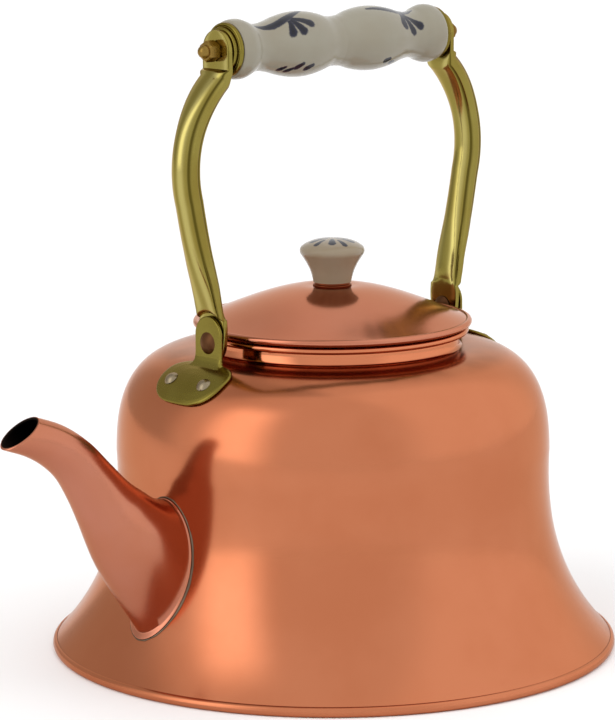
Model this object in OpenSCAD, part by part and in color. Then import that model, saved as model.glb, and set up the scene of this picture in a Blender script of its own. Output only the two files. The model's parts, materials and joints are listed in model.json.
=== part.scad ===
// Copper kettle with a curved spout, a lift-off lid and a swinging brass bail handle.
// Origin: centre of the underside. +Z up, spout towards -X, handle in the XZ plane.

/* [Body] */
// Outer radius of the rolled foot
foot_r = 110; // [105:0.5:115]
// Radius of the waist
waist_r = 84.2; // [83.5:0.1:85]
// Height of the flat ledge on top of the shoulder
shoulder_z = 118.2; // [117.5:0.1:119]
// Thickness of the copper sheet
sheet = 1.2; // [1:0.1:1.4]
// Inner radius of the mouth
mouth_r = 47.8; // [47.5:0.1:48]

/* [Lid] */
// Outer radius of the lid's rolled rim
lid_r = 53.95; // [53.5:0.05:54.5]
// Height of the small flat on the lid's crown
crown_z = 141.4; // [140.6:0.2:142]
// Height of the lid knob
knob_h = 16.8; // [15:0.2:18]
// Largest radius of the lid knob
knob_r = 12.5; // [11:0.25:13.5]

/* [Spout] */
// Outer radius of the spout where it leaves its flared root
spout_root_r = 16.6; // [16:0.2:17.5]
// Half height of the root oval on the body
root_half_h = 26; // [25:0.5:27]
// Half width of the root oval on the body
root_half_w = 15.6; // [15:0.2:16.5]

/* [Handle] */
// Height of the handle's pivots
pivot_z = 126.2; // [126:0.1:127]
// Height of the grip's axis
grip_z = 235.6; // [234:0.2:237]
// Outer radius of the arm tubes
tube_r = 5.3; // [5:0.1:5.5]
// Largest radius of the porcelain grip
grip_r = 12.4; // [11.5:0.1:13]
// Distance from the kettle's axis to the inner face of an upper arm pad
grip_half = 55.5; // [55:0.1:56]

/* [Brackets] */
// Width of a bracket's upright tab
tab_w = 15; // [14:0.5:16]
// Thickness of the bracket plate
plate_t = 1.5; // [1.2:0.1:1.6]
// Distance from the kettle's axis to the inner face of a tab
tab_in = 61.6; // [61.5:0.05:61.8]
// Radius of the plate rivets
rivet_r = 1.5; // [1.25:0.25:2]

/* [Hidden] */

$fn = 96;
copper = [0.80, 0.45, 0.30];
brass = [0.62, 0.55, 0.22];
tin = [0.72, 0.70, 0.66];
porcelain = [0.80, 0.78, 0.72];
fit = 0.05;            // running clearance between a shaft and its hole
seat = 0.03;           // gap under pieces that are riveted or soldered to a curved wall
gap = 0.3;             // gap between pieces that move past each other
base_t = 1.2;          // thickness of the bottom disc
foot_h = 3.9;          // height of the rolled foot
fold = 1.6;            // radius of the foot's folded edge
steps = 16;            // segments along a curved outline

// Body outline: a flared skirt and a round shoulder, each one cubic curve of (radius, height).
skirt = [[foot_r - fold, foot_h], [91, 22.5], [82.3, 46], [waist_r, 78]];
shoulder = [[waist_r, 78], [waist_r, 104.5], [75.2, 118.4], [49.8, shoulder_z]];

// Lid outline: a rolled rim, long flanks and a rounded crown with a small flat under the knob.
rim_r = 1.35;
rim_z = 127.65;
lid_sheet = 1;
lid_curve = [[lid_r - 2.15, rim_z + 1.05], [40, 133], [21, crown_z + 0.8], [8, crown_z]];
skirt_r = mouth_r - 0.5;

// Knob stack
saddle_r = 7.5;
saddle_top_r = 6.9;
saddle_h = 1.4;
knob_z = crown_z + saddle_h;
stud_r = 2;

// Spout: stations of [distance from the axis, height, radius]; the mouth is cut on a slant.
stations = [
    [103, 60.2, spout_root_r], [108.3, 66.3, 14.2], [113.1, 72.2, 12.2], [119.9, 81.3, 10.3],
    [128, 91, 9], [137.2, 97.9, 8.2], [144.5, 101.4, 7.5]
];
mouth = [151.2, 104];
mouth_slant = 33;
mouth_half_l = 9.1;
mouth_half_w = 6.5;
spout_wall = 1.1;
root_z = 44;
root_steps = 3;
sides = 40;

// Handle
pad_t = 2.4;
pad_w = 15.4;
pad_end_r = 7;
pad_in = tab_in - gap - pad_t;
pivot_r = 2.4;
head_r = 4.2;
head_h = 1.6;
bow_r = 44;            // radius of the arm's bow
lean_out = 15;         // lean of the lower stretch, in degrees from upright
lean_in = 48;          // lean where the bow meets the upper pad
arm_foot = [60, 138.5];
bow_start_z = 180;
rod_r = 2.4;
cap_r = 10.2;
grip_end = 52;

// Plate rivets sit on the shoulder at this curve parameter, either side of the bracket's middle.
rivet_t = 0.6;
rivet_turn = 7.3;
plate_round = 6;
plate_end_r = 79;
plate_half_w = 17;
burr_depth = sheet + 1.1;   // depth below the wall's outer face at which the rivets are burred over
rove_t = 0.7;

function lerp(a, b, t) = a + (b - a) * t;
function bezier(p, t) =
    pow(1 - t, 3) * p[0] + 3 * t * pow(1 - t, 2) * p[1] + 3 * t * t * (1 - t) * p[2] + pow(t, 3) * p[3];
function unit(v) = v / norm(v);
function bezier_dir(p, t) = unit(bezier(p, t + 0.001) - bezier(p, t - 0.001));
// The left-hand side of the travel, so a positive offset moves an outline inwards.
function inward(p, t) = [-bezier_dir(p, t)[1], bezier_dir(p, t)[0]];
function bezier_points(p, from = 0, to = 1, off = 0) =
    [for (i = [0 : steps]) let (t = lerp(from, to, i / steps)) bezier(p, t) + off * inward(p, t)];
function reversed(v) = [for (i = [len(v) - 1 : -1 : 0]) v[i]];

// Parameter at which a curve reaches height z, found by halving; heights rise along the curve.
function curve_at(p, z, low = 0, high = 1, n = 24) =
    n == 0 ? (low + high) / 2
    : let (m = (low + high) / 2) bezier(p, m)[1] < z ? curve_at(p, z, m, high, n - 1)
                                                    : curve_at(p, z, low, m, n - 1);
function body_radius(z) = z < 78 ? bezier(skirt, curve_at(skirt, z))[0]
                                 : bezier(shoulder, curve_at(shoulder, z))[0];

// Shaft along +X from x0 to x1
module shaft(x0, x1, r) {
    translate([x0, 0, 0]) rotate([0, 90, 0]) cylinder(r = r, h = x1 - x0);
}

// Low domed rivet head of radius r and height h, standing on z = 0
module dome_head(r, h) {
    ball = (r * r + h * h) / (2 * h);
    intersection() {
        translate([0, 0, h - ball]) sphere(r = ball);
        cylinder(r = r, h = h);
    }
}

// Puts a child on the outer face of the shoulder, its +Z along the wall's outward normal.
module on_shoulder(t, turn) {
    p = bezier(shoulder, t);
    n = -inward(shoulder, t);
    rotate([0, 0, turn]) translate([-p[0], 0, p[1]]) rotate([0, -atan2(n[0], n[1]), 0]) children();
}

// Everything inside the outer face of the shoulder, grown by off
module shoulder_core(off) {
    rotate_extrude() polygon(concat([[0, 78]], bezier_points(shoulder, 0, 1, -off),
        [[40, shoulder_z + off], [0, shoulder_z + off]]));
}

module body_shell() {
    color(copper) difference() {
        rotate_extrude() polygon(concat(
            [[foot_r - fold, base_t]], bezier_points(skirt), bezier_points(shoulder),
            [[mouth_r, shoulder_z], [mouth_r, shoulder_z - sheet]],
            reversed(bezier_points(shoulder, 0, 1, sheet)), reversed(bezier_points(skirt, 0, 1, sheet)),
            [[foot_r - fold - sheet, base_t]]));
        // water hole behind the spout
        translate([0, 0, root_z]) shaft(-100, -60, 12);
        for (side = [0, 180], turn = [-rivet_turn, rivet_turn])
            on_shoulder(rivet_t, side + turn) translate([0, 0, -5]) cylinder(r = rivet_r + fit, h = 10);
    }
}

// Flat bottom with its edge folded up round the foot of the skirt
module base_plate() {
    lip = foot_r - fold;
    module round_edge(z, low, high) {
        translate([lip, z]) intersection() {
            circle(r = fold);
            translate([0, low]) square([fold, high - low]);
        }
    }
    color(copper) rotate_extrude() {
        square([lip, base_t]);
        round_edge(fold, -fold, 0);
        translate([lip, fold]) square([fold, foot_h - 2 * fold]);
        round_edge(foot_h - fold, 0, fold);
    }
}

// Upright collar soldered on the shoulder's ledge, rolled outwards under the lid
module neck_ring() {
    bead = 1.3;
    top = 125.8;
    color(copper) rotate_extrude() {
        translate([mouth_r, shoulder_z]) square([sheet, top - shoulder_z]);
        translate([mouth_r, top - sheet]) square([lid_r - 2.5 - mouth_r, sheet]);
        translate([lid_r - 2.5, top - bead]) circle(r = bead);
    }
}

// One point of the root oval on the body; a is the angle from the oval's top, grow widens the oval,
// lift stands it off the wall.
function root_point(a, grow, lift) =
    let (z = root_z + (root_half_h + grow) * cos(a), y = (root_half_w + grow) * sin(a),
         r = body_radius(z) + lift)
    [-sqrt(r * r - y * y), y, z];

function heading(i) =
    let (a = stations[max(i - 1, 0)], b = i < len(stations) - 1 ? stations[i + 1] : concat(mouth, [0]))
    unit([b[0] - a[0], b[1] - a[1]]);

// One point of a round section at station i, wall is taken off the radius
function station_point(i, a, wall) =
    let (s = stations[i], h = heading(i), r = s[2] - wall,
         side = min(r, root_half_w - wall))
    [-(s[0] - h[1] * r * cos(a)), side * sin(a), s[1] + h[0] * r * cos(a)];

function mouth_point(a, wall) =
    let (l = mouth_half_l - wall, w = mouth_half_w - wall)
    [-(mouth[0] - cos(mouth_slant) * l * cos(a)), w * sin(a), mouth[1] + sin(mouth_slant) * l * cos(a)];

function ring(k, wall) = [for (j = [0 : sides - 1]) let (a = 360 * j / sides)
    k < root_steps ? lerp(root_point(a, -wall, seat), station_point(0, a, wall), k / root_steps)
    : k < root_steps + len(stations) ? station_point(k - root_steps, a, wall)
    : mouth_point(a, wall)];

// Closed skin over rings of points that follow each other and meet again at the start
module ring_skin(rings) {
    n = len(rings);
    m = len(rings[0]);
    quads = [for (k = [0 : n - 1], j = [0 : m - 1])
        [k * m + j, k * m + (j + 1) % m, ((k + 1) % n) * m + (j + 1) % m, ((k + 1) % n) * m + j]];
    polyhedron(points = [for (r = rings) each r],
        faces = [for (q = quads) each [[q[0], q[1], q[2]], [q[0], q[2], q[3]]]], convexity = 6);
}

module spout() {
    last = root_steps + len(stations);
    outer = [for (k = [0 : last]) ring(k, 0)];
    inner = [for (k = [last : -1 : 0]) ring(k, spout_wall)];
    color(copper) ring_skin(concat(outer, inner));
}

// Fillet of solder round the root of the spout
module spout_solder_seam() {
    reach = 2.2;
    rise = 1.5;
    function along(a) = unit(ring_at(a) - root_point(a, 0, seat));
    function ring_at(a) = station_point(0, a, 0);
    color(tin) ring_skin([
        [for (j = [0 : sides - 1]) root_point(360 * j / sides, 0.1, seat)],
        [for (j = [0 : sides - 1]) root_point(360 * j / sides, reach, seat)],
        [for (j = [0 : sides - 1]) root_point(360 * j / sides, reach * 0.5, rise * 0.5)],
        [for (j = [0 : sides - 1]) let (a = 360 * j / sides)
            root_point(a, 0.25, seat) + rise * along(a)]
    ]);
}

// Brass angle bracket on the spout side: a plate bent to the shoulder and an upright tab
module bracket() {
    color(brass) difference() {
        union() {
            translate([-tab_in - plate_t, 0, 0]) rotate([90, 0, 90]) linear_extrude(plate_t) {
                translate([0, pivot_z + 2.4]) circle(d = tab_w);
                translate([-tab_w / 2, pivot_z - 12]) square([tab_w, 14.4]);
            }
            intersection() {
                difference() {
                    shoulder_core(plate_t);
                    shoulder_core(seat);
                }
                translate([0, 0, 90]) linear_extrude(40) intersection() {
                    circle(r = plate_end_r);
                    union() {
                        for (side = [-1, 1], x = [plate_round, 18 - plate_round])
                            translate([-tab_in - x, side * (plate_half_w - plate_round)])
                                circle(r = plate_round);
                        translate([-tab_in - 18, -plate_half_w + plate_round])
                            square([18, 2 * (plate_half_w - plate_round)]);
                        translate([-tab_in - 18 + plate_round, -plate_half_w])
                            square([18 - 2 * plate_round, 2 * plate_half_w]);
                    }
                }
            }
        }
        shoulder_core(seat);
        translate([0, 0, pivot_z]) shaft(-tab_in - 5, -tab_in + 5, pivot_r + fit);
        for (turn = [-rivet_turn, rivet_turn])
            on_shoulder(rivet_t, turn) translate([0, 0, -5]) cylinder(r = rivet_r + fit, h = 10);
    }
}

module front_bracket() {
    bracket();
}

module rear_bracket() {
    mirror([1, 0, 0]) bracket();
}

// Tinned rivets through the plate and the wall, headed outside and burred over inside
module bracket_rivets() {
    for (turn = [-rivet_turn, rivet_turn]) on_shoulder(rivet_t, turn) color(tin) {
        translate([0, 0, -burr_depth - 0.8]) cylinder(r = rivet_r, h = burr_depth + plate_t + 1);
        translate([0, 0, plate_t + seat]) dome_head(2.9, 1.5);
        translate([0, 0, -burr_depth - 0.1]) mirror([0, 0, 1]) dome_head(2.3, 1);
    }
}

module front_bracket_rivets() {
    bracket_rivets();
}

module rear_bracket_rivets() {
    mirror([1, 0, 0]) bracket_rivets();
}

// Small washers that the rivets are burred over
module rivet_roves() {
    for (turn = [-rivet_turn, rivet_turn]) on_shoulder(rivet_t, turn) color(tin)
        translate([0, 0, -burr_depth]) difference() {
            cylinder(r = 3, h = rove_t);
            translate([0, 0, -1]) cylinder(r = rivet_r + fit, h = 3);
        }
}

module front_rivet_roves() {
    rivet_roves();
}

module rear_rivet_roves() {
    mirror([1, 0, 0]) rivet_roves();
}

// Rivet that the arm turns on: head outside the tab, clenched head inside the arm pad
module pivot_rivet() {
    out = tab_in + plate_t;
    inside = pad_in - gap;
    color(copper) translate([0, 0, pivot_z]) {
        shaft(-out - 0.5, -inside + 0.5, pivot_r);
        translate([-out, 0, 0]) rotate([0, -90, 0]) dome_head(head_r, head_h);
        translate([-inside, 0, 0]) rotate([0, 90, 0]) dome_head(head_r, head_h);
    }
}

module front_pivot_rivet() {
    pivot_rivet();
}

module rear_pivot_rivet() {
    mirror([1, 0, 0]) pivot_rivet();
}

// Straight stretch of tube from (distance, height) p to q
module tube_run(p, q) {
    d = q - p;
    translate([-p[0], 0, p[1]]) rotate([0, -atan2(d[0], d[1]), 0]) cylinder(r = tube_r, h = norm(d));
}

// Brass tube, flattened at both ends, that leans out and then bows back in to the grip
module arm() {
    lower_run = bow_start_z - arm_foot[1];
    bow_start = arm_foot + lower_run * [tan(lean_out), 1];
    centre = bow_start - bow_r * [cos(lean_out), -sin(lean_out)];
    color(brass) difference() {
        union() {
            union() {
                tube_run(arm_foot, bow_start);
                translate([-bow_start[0], 0, bow_start[1]]) sphere(r = tube_r + 0.06);
            }
            translate([-centre[0], 0, centre[1]]) rotate([90, 0, 180])
                rotate([0, 0, -lean_out]) rotate_extrude(angle = lean_out + lean_in)
                    translate([bow_r, 0]) circle(r = tube_r);
            // lower pad
            translate([-pad_in - pad_t, 0, pivot_z]) rotate([90, 0, 90]) linear_extrude(pad_t) {
                circle(r = pad_end_r);
                polygon([[-pad_end_r, 0], [pad_end_r, 0], [pad_w / 2, 6], [pad_w / 2, 11],
                    [tube_r - 0.5, 20], [0.5 - tube_r, 20], [-pad_w / 2, 11], [-pad_w / 2, 6]]);
            }
            // upper pad
            translate([-grip_half - pad_t, 0, grip_z]) rotate([90, 0, 90]) linear_extrude(pad_t) {
                circle(d = pad_w);
                translate([-pad_w / 2, -9.5]) square([pad_w, 9.5]);
                translate([-tube_r - 1, -14]) square([2 * tube_r + 2, 6]);
            }
        }
        // both ends are hammered flat on their inner side, and the foot clears the tab as it turns
        translate([0, 0, pivot_z]) shaft(-pad_in - pad_t - 12, -pad_in - pad_t, 11.7);
        translate([0, 0, pivot_z]) shaft(-pad_in, -pad_in + 12, 16);
        translate([-grip_half, -10, grip_z - 15]) cube([20, 20, 24]);
        translate([-grip_half - pad_t - 12, -10, grip_z - 7.7]) cube([12, 20, 20]);
        translate([0, 0, pivot_z]) shaft(-70, -50, pivot_r + fit);
        translate([0, 0, grip_z]) shaft(-70, -50, rod_r + fit);
    }
}

module front_arm() {
    arm();
}

module rear_arm() {
    mirror([1, 0, 0]) arm();
}

// Half outline of the grip: [distance from its middle, radius]
grip_outline = [[0, 9.4], [4, 9.8], [9, 11.3], [14, grip_r - 0.25], [18, grip_r], [23, grip_r - 0.35],
    [28, 11.1], [33, 9.6], [38.3, 8.9], [42, 9.4], [45, 10.7], [48, 11.3], [50.5, 11.1], [grip_end, 10.4]];

function mirrored(v) = concat([for (p = reversed(v)) [-p[0], p[1]]], [for (i = [1 : len(v) - 1]) v[i]]);

// Turned porcelain grip with two swellings and a beaded collar at each end, hollow through
module grip() {
    bore = 5;
    color(porcelain) translate([0, 0, grip_z]) rotate([0, 90, 0]) rotate_extrude()
        polygon(concat([for (p = mirrored(grip_outline)) [p[1], p[0]]], [[bore, grip_end], [bore, -grip_end]]));
}

// Stepped brass cup on the end of the grip
module grip_cap() {
    color(brass) translate([-grip_half, 0, grip_z]) rotate([0, 90, 0]) rotate_extrude() {
        translate([rod_r + fit, 0]) square([8.6 - rod_r - fit, grip_half - grip_end - 0.05]);
        translate([8, 1.6]) square([cap_r - 8, grip_half - grip_end - 1.65]);
    }
}

module front_grip_cap() {
    grip_cap();
}

module rear_grip_cap() {
    mirror([1, 0, 0]) grip_cap();
}

// Rod through grip, caps and arms
module grip_rod() {
    reach = grip_half + pad_t + 6;
    color(brass) translate([0, 0, grip_z]) shaft(-reach, reach, rod_r);
}

// Small domed nut on the end of the rod
module grip_nut() {
    flats = 7;
    hex_h = 5;
    color(brass) translate([-grip_half - pad_t, 0, grip_z]) rotate([0, -90, 0]) difference() {
        union() {
            cylinder(d = flats / cos(30), h = hex_h, $fn = 6);
            translate([0, 0, hex_h]) dome_head(3.4, 2.9);
        }
        translate([0, 0, -1]) cylinder(r = rod_r + fit, h = 7.1);
    }
}

module front_grip_nut() {
    grip_nut();
}

module rear_grip_nut() {
    mirror([1, 0, 0]) grip_nut();
}

// Domed lid with a rolled rim and a hole for the knob's stud
module lid_cover() {
    color(copper) rotate_extrude() {
        polygon(concat(bezier_points(lid_curve), [[stud_r + fit, crown_z], [stud_r + fit, crown_z - lid_sheet]],
            reversed(bezier_points(lid_curve, 0, 1, lid_sheet))));
        translate([lid_r - rim_r, rim_z]) circle(r = rim_r);
    }
}

// Ring under the lid that plugs the mouth
module lid_skirt() {
    solder_gap = 0.35;
    function under(r) = let (t = param_at(r))
        bezier(lid_curve, t)[1] + lid_sheet * inward(lid_curve, t)[1] - solder_gap;
    function param_at(r, low = 0, high = 1, n = 20) =
        n == 0 ? (low + high) / 2
        : let (m = (low + high) / 2) bezier(lid_curve, m)[0] > r ? param_at(r, m, high, n - 1)
                                                              : param_at(r, low, m, n - 1);
    color(copper) rotate_extrude() polygon([[skirt_r - 1, 113], [skirt_r, 113],
        [skirt_r, under(skirt_r)], [skirt_r - 1, under(skirt_r - 1)]]);
}

// Thin copper ferrule between lid and knob
module knob_saddle() {
    color(copper) rotate_extrude() polygon([
        [stud_r + fit, crown_z], [saddle_r, crown_z], [saddle_r, crown_z + 0.4],
        [saddle_top_r, crown_z + 0.8], [saddle_top_r, knob_z], [stud_r + fit, knob_z]]);
}

// Porcelain knob, narrow at the foot and domed on top
module lid_knob() {
    color(porcelain) difference() {
        rotate_extrude() polygon([
            [0, knob_z], [7.4, knob_z], [7.7, knob_z + 1], [8.3, knob_z + 3.5], [9.5, knob_z + 6.5],
            [11, knob_z + 9.2], [12.2, knob_z + 11], [knob_r, knob_z + 12.2], [12.2, knob_z + 13.4],
            [10.8, knob_z + 14.8], [8.2, knob_z + 16], [4.5, knob_z + 16.6], [0, knob_z + knob_h]]);
        translate([0, 0, knob_z - 1]) cylinder(r = stud_r + fit, h = 11);
    }
}

module knob_stud() {
    color(brass) translate([0, 0, crown_z - 7]) cylinder(r = stud_r, h = 7 + saddle_h + 9);
}

module knob_washer() {
    color(brass) translate([0, 0, crown_z - lid_sheet - 1]) difference() {
        cylinder(r = 6, h = 1);
        translate([0, 0, -1]) cylinder(r = stud_r + fit, h = 3);
    }
}

module knob_nut() {
    color(brass) translate([0, 0, crown_z - lid_sheet - 4.4]) difference() {
        cylinder(d = 7 / cos(30), h = 3.4, $fn = 6);
        translate([0, 0, -1]) cylinder(r = stud_r + fit, h = 6);
    }
}

body_shell();
base_plate();
neck_ring();
spout();
spout_solder_seam();
front_bracket();
rear_bracket();
front_bracket_rivets();
rear_bracket_rivets();
front_rivet_roves();
rear_rivet_roves();
front_pivot_rivet();
rear_pivot_rivet();
front_arm();
rear_arm();
grip();
front_grip_cap();
rear_grip_cap();
grip_rod();
front_grip_nut();
rear_grip_nut();
lid_cover();
lid_skirt();
knob_saddle();
lid_knob();
knob_stud();
knob_washer();
knob_nut();
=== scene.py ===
"""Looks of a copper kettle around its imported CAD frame: studio, materials and detailed pieces.

The frame is in metres. Sizes below are in millimetres and go through MM when a mesh is made.
+Z is up, the spout points to -X, and the handle lies in the XZ plane when it stands upright.
"""
import json
import math
import random

import bmesh
import bpy
from mathutils import Matrix, Vector


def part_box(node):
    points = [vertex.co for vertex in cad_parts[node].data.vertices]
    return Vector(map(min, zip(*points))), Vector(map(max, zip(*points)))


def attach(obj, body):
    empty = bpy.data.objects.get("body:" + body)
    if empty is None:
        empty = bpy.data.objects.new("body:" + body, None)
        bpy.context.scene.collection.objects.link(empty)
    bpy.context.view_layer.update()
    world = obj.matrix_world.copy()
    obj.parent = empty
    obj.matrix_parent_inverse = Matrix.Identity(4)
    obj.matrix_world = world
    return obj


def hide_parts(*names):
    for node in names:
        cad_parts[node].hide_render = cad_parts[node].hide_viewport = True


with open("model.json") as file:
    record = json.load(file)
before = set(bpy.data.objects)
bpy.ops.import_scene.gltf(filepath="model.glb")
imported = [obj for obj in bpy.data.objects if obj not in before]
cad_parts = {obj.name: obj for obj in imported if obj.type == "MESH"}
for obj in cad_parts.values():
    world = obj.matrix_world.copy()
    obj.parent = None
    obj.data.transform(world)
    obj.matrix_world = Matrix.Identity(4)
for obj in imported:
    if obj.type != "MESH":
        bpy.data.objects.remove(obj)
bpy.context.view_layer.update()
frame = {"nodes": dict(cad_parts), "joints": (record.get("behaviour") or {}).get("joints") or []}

MM = 0.001


def high(node, axis):
    """Highest coordinate of a CAD node along an axis, in millimetres."""
    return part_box(node)[1][axis] / MM


def low(node, axis):
    """Lowest coordinate of a CAD node along an axis, in millimetres."""
    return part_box(node)[0][axis] / MM


# Driving sizes, read from the frame
FOOT_R = high("base_plate", 0)
FOOT_H = high("base_plate", 2)
FOLD = FOOT_R - high("body_shell", 0)
LEDGE_Z = high("body_shell", 2)
MOUTH_R = high("lid_skirt", 0) + 0.5
NECK_R = high("neck_ring", 0)
NECK_TOP = high("neck_ring", 2)
LID_R = high("lid_cover", 0)
FERRULE_Z = low("knob_saddle", 2)
LID_LOW = low("lid_cover", 2)
KNOB_Z = low("lid_knob", 2)
KNOB_TOP = high("lid_knob", 2)
KNOB_R = high("lid_knob", 0)
SADDLE_R = high("knob_saddle", 0)
GRIP_END = high("grip", 0)
GRIP_Z = (high("grip", 2) + low("grip", 2)) / 2
CAP_OUT = high("rear_grip_cap", 0)
CAP_R = high("rear_grip_cap", 1)
PIVOT_Z = frame["joints"][0]["pos_m"][2] / MM
SHEET = 1.2
WAIST_R = 84.2
WAIST_Z = 78

# Outlines shared by several pieces, as (radius, height) control points of cubic curves
SKIRT = [(FOOT_R - FOLD, FOOT_H), (91, 22.5), (82.3, 46), (WAIST_R, WAIST_Z)]
SHOULDER = [(WAIST_R, WAIST_Z), (WAIST_R, 104.5), (75.2, 118.4), (49.8, LEDGE_Z)]


# ---------------------------------------------------------------- curves and outlines

def lerp(a, b, t):
    return a + (b - a) * t


def smoothstep(low_edge, high_edge, x):
    """0 below the low edge, 1 above the high one, and a soft rise between them."""
    t = min(max((x - low_edge) / (high_edge - low_edge), 0.0), 1.0)
    return t * t * (3 - 2 * t)


def bezier(p, t):
    """Point of a cubic curve of (radius, height) control points."""
    w = ((1 - t) ** 3, 3 * t * (1 - t) ** 2, 3 * t * t * (1 - t), t ** 3)
    return (sum(w[i] * p[i][0] for i in range(4)), sum(w[i] * p[i][1] for i in range(4)))


def bezier_points(p, count, inset=0.0):
    """Points along a cubic curve, moved inset to the left of the direction of travel."""
    points = []
    for i in range(count + 1):
        t = i / count
        a = bezier(p, max(t - 0.001, 0))
        b = bezier(p, min(t + 0.001, 1))
        run = math.hypot(b[0] - a[0], b[1] - a[1])
        x, z = bezier(p, t)
        points.append((x - inset * (b[1] - a[1]) / run, z + inset * (b[0] - a[0]) / run))
    return points


def arc(centre, radius, start, end, count):
    """Points on an arc, angles in degrees from +radius towards +height."""
    points = []
    for i in range(count + 1):
        a = math.radians(lerp(start, end, i / count))
        points.append((centre[0] + radius * math.cos(a), centre[1] + radius * math.sin(a)))
    return points


def filleted(points, radius, count=5, min_turn=18):
    """Closed outline with its sharp corners rounded."""
    result = []
    n = len(points)
    for i in range(n):
        p = Vector(points[i])
        a = Vector(points[i - 1]) - p
        b = Vector(points[(i + 1) % n]) - p
        turn = 180 - math.degrees(a.angle(b, math.pi))
        if turn < min_turn or p.x < 1e-6:
            result.append(tuple(p))
            continue
        start = p + a.normalized() * min(radius, a.length * 0.45)
        end = p + b.normalized() * min(radius, b.length * 0.45)
        for k in range(count + 1):
            t = k / count
            q = start * (1 - t) ** 2 + p * 2 * t * (1 - t) + end * t ** 2
            result.append(tuple(q))
    return result


def spline(points, count):
    """Smooth curve through points (Vectors), count steps between each pair, however uneven they lie."""
    padded = [points[0] * 2 - points[1]] + list(points) + [points[-1] * 2 - points[-2]]
    result = []
    for k in range(1, len(padded) - 2):
        before, here, there, after = padded[k - 1:k + 3]
        gap = (there - here).length
        gap_in, gap_out = (here - before).length, (after - there).length
        middle = (there - here) / gap
        leave = (middle * gap_in + (here - before) / gap_in * gap) / (gap + gap_in)
        arrive = (middle * gap_out + (after - there) / gap_out * gap) / (gap + gap_out)
        for i in range(count):
            t = i / count
            from_here = here * (2 * t ** 3 - 3 * t ** 2 + 1) + leave * (gap * (t ** 3 - 2 * t ** 2 + t))
            to_there = there * (3 * t ** 2 - 2 * t ** 3) + arrive * (gap * (t ** 3 - t ** 2))
            result.append(from_here + to_there)
    result.append(points[-1].copy())
    return result


def body_radius(z):
    """Outer radius of the body at a height, found by halving."""
    curve = SKIRT if z < WAIST_Z else SHOULDER
    a, b = 0.0, 1.0
    for _ in range(24):
        m = (a + b) / 2
        if bezier(curve, m)[1] < z:
            a = m
        else:
            b = m
    return bezier(curve, a)[0]


# ---------------------------------------------------------------- meshes

def mesh_object(name, points, faces, materials, face_materials=None, crease=42):
    """Object from points in millimetres; edges sharper than crease degrees stay sharp."""
    mesh = bpy.data.meshes.new(name)
    mesh.from_pydata([tuple(c * MM for c in p) for p in points], [], faces)
    for material in materials:
        mesh.materials.append(material)
    if face_materials:
        mesh.polygons.foreach_set("material_index", face_materials)
    work = bmesh.new()
    work.from_mesh(mesh)
    bmesh.ops.recalc_face_normals(work, faces=work.faces)
    work.to_mesh(mesh)
    work.free()
    mesh.shade_smooth()
    mesh.set_sharp_from_angle(angle=math.radians(crease))
    piece = bpy.data.objects.new(name, mesh)
    bpy.context.scene.collection.objects.link(piece)
    return piece


def lathe(name, outline, materials, sides=192, place=None, inner_from=None, crease=42):
    """Solid turned from a closed outline of (radius, height), placed by a point function."""
    place = place or (lambda x, y, z: (x, y, z))
    points = []
    rows = []
    for r, z in outline:
        if r < 1e-6:
            rows.append([len(points)] * sides)
            points.append(place(0, 0, z))
            continue
        rows.append(range(len(points), len(points) + sides))
        for j in range(sides):
            a = 2 * math.pi * j / sides
            points.append(place(r * math.cos(a), r * math.sin(a), z))
    faces = []
    face_materials = []
    count = len(outline)
    for i in range(count):
        lower, upper = rows[i], rows[(i + 1) % count]
        for j in range(sides):
            k = (j + 1) % sides
            ring = [lower[j], lower[k], upper[k], upper[j]]
            face = [v for n, v in enumerate(ring) if v not in ring[:n]]
            if len(face) > 2:
                faces.append(face)
                face_materials.append(1 if inner_from is not None and i >= inner_from else 0)
    return mesh_object(name, points, faces, materials, face_materials, crease)


def loft(name, rings, materials, looped=False, capped=True, inner_from=None, crease=42):
    """Skin over rings of equally many points; looped joins the last ring to the first."""
    m = len(rings[0])
    points = [p for ring in rings for p in ring]
    faces = []
    face_materials = []
    spans = len(rings) if looped else len(rings) - 1
    for k in range(spans):
        a, b = k * m, ((k + 1) % len(rings)) * m
        for j in range(m):
            n = (j + 1) % m
            faces.append([a + j, a + n, b + n, b + j])
            face_materials.append(1 if inner_from is not None and k >= inner_from else 0)
    if capped and not looped:
        for start in (0, (len(rings) - 1) * m):
            middle = sum((Vector(points[start + j]) for j in range(m)), Vector()) / m
            points.append(tuple(middle))
            for j in range(m):
                faces.append([start + j, start + (j + 1) % m, len(points) - 1])
                face_materials.append(0)
    return mesh_object(name, points, faces, materials, face_materials, crease)


def applied(piece):
    """Turns a piece's modifiers into its mesh."""
    depsgraph = bpy.context.evaluated_depsgraph_get()
    mesh = bpy.data.meshes.new_from_object(piece.evaluated_get(depsgraph))
    piece.modifiers.clear()
    piece.data = mesh
    return piece


def fused(name, shells, material, voxel, rounds):
    """One rounded piece out of overlapping closed shells, as pressing and polishing leave it."""
    work = bmesh.new()
    for shell in shells:
        work.from_mesh(shell.data)
        bpy.data.objects.remove(shell)
    mesh = bpy.data.meshes.new(name)
    work.to_mesh(mesh)
    work.free()
    piece = bpy.data.objects.new(name, mesh)
    bpy.context.scene.collection.objects.link(piece)
    even = piece.modifiers.new("even", "REMESH")
    even.mode = "VOXEL"
    even.voxel_size = voxel * MM
    even.use_smooth_shade = True
    soft = piece.modifiers.new("soft", "SMOOTH")
    soft.factor = 0.5
    soft.iterations = rounds
    applied(piece)
    piece.data.materials.clear()
    piece.data.materials.append(material)
    piece.data.shade_smooth()
    return piece


def fit(piece, body, slot, *nodes):
    """Rides a piece on its body and hides the CAD nodes that it stands for; the finish given as slot is
    not used.
    """
    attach(piece, body)
    if nodes:
        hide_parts(*nodes)
    return piece


# ---------------------------------------------------------------- materials

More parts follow.
